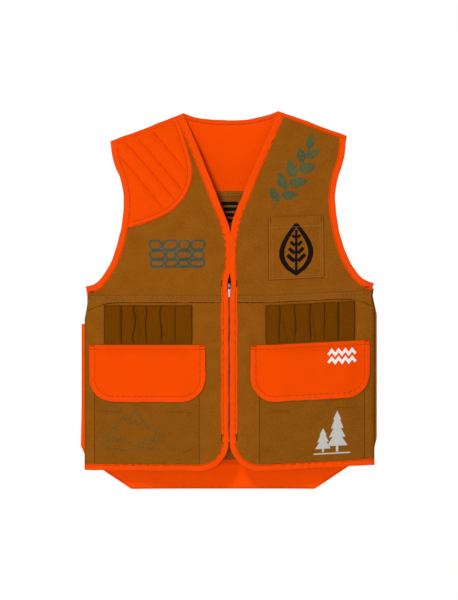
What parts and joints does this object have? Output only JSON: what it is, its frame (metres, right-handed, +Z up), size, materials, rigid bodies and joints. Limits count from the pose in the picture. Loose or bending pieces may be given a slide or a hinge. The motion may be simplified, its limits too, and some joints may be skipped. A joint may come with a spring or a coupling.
{
  "type": "upland field vest",
  "caption": "Canvas field vest with a separating zip, shell loops, flapped pockets, a chest pocket, a quilted recoil pad and a rear game bag.",
  "frame": {"origin": "midway between the neck points of the shoulder seams, where a hanger or the shoulders hold the vest", "axes": "+Z up, +Y towards the back, +X towards the wearer's left"},
  "size_m": [0.5595, 0.0999, 0.7138],
  "materials": {
    "duck": "brown cotton duck canvas, matt",
    "blaze": "blaze orange poplin, matt",
    "elastic": "dark brown woven elastic",
    "foam": "open-cell pad filling",
    "zip_tape": "woven zip tape",
    "zip_teeth": "darkened metal teeth",
    "zip_metal": "satin nickel plate"
  },
  "bodies": {
    "back": {"back_neck_binding": "blaze", "back_yoke": "blaze", "back_body": "duck", "back_hem_binding": "blaze", "right_armhole_binding_back": "blaze", "left_armhole_binding_back": "blaze", "game_bag_inner_wall": "blaze", "game_bag_gusset": "blaze"},
    "right_front": {"right_chest_panel": "duck", "right_armhole_binding_front": "blaze", "right_front_binding": "blaze", "right_lower_front_panel": "duck", "right_zipper_tape": "zip_tape", "right_zipper_teeth": "zip_teeth", "right_zipper_top_stop": "zip_metal", "right_zipper_facing": "zip_tape", "right_shell_loops": "elastic", "right_pocket": "duck", "zipper_retainer_box": "zip_metal", "recoil_pad_binding": "blaze", "recoil_pad_foam": "foam", "recoil_pad_cover": "blaze"},
    "left_front": {"left_chest_panel": "duck", "left_armhole_binding_front": "blaze", "left_front_binding": "blaze", "left_lower_front_panel": "duck", "left_zipper_tape": "zip_tape", "left_zipper_teeth": "zip_teeth", "left_zipper_top_stop": "zip_metal", "left_zipper_facing": "zip_tape", "left_shell_loops": "elastic", "left_pocket": "duck", "zipper_insert_pin": "zip_metal", "chest_pocket": "duck"},
    "right_flap": {"right_pocket_flap": "blaze", "right_flap_binding": "blaze"},
    "left_flap": {"left_pocket_flap": "blaze", "left_flap_binding": "blaze"},
    "bag_outer": {"game_bag_outer_wall": "blaze", "game_bag_top_binding": "blaze"},
    "slider": {"zipper_slider": "zip_metal"},
    "pull": {"zipper_pull_tab": "zip_metal"}
  },
  "joints": [
    {"name": "right_front_open", "type": "hinge", "parent": "back", "child": "right_front", "pos_m": [-0.277, 0, -0.5], "axis": [0, 0, -1], "range_deg": [0, 45]},
    {"name": "left_front_open", "type": "hinge", "parent": "back", "child": "left_front", "pos_m": [0.277, 0, -0.5], "axis": [0, 0, 1], "range_deg": [0, 45]},
    {"name": "right_flap_lift", "type": "hinge", "parent": "right_front", "child": "right_flap", "pos_m": [-0.042, -0.03419, -0.443], "axis": [-0.9949, 0.1013, 0], "range_deg": [0, 98]},
    {"name": "left_flap_lift", "type": "hinge", "parent": "left_front", "child": "left_flap", "pos_m": [0.042, -0.03419, -0.443], "axis": [-0.994, -0.1012, -0.0422], "range_deg": [0, 98]},
    {"name": "bag_open", "type": "hinge", "parent": "back", "child": "bag_outer", "pos_m": [0, 0.0493, -0.7135], "axis": [-1, 0, 0], "range_deg": [0, 20]},
    {"name": "zipper_slide", "type": "slide", "parent": "right_front", "child": "slider", "axis": [0, 0, -1], "range_m": [0, 0.281]},
    {"name": "pull_flip", "type": "hinge", "parent": "slider", "child": "pull", "pos_m": [0, -0.0352, -0.33], "axis": [-1, 0, 0], "range_deg": [0, 165]}
  ]
}
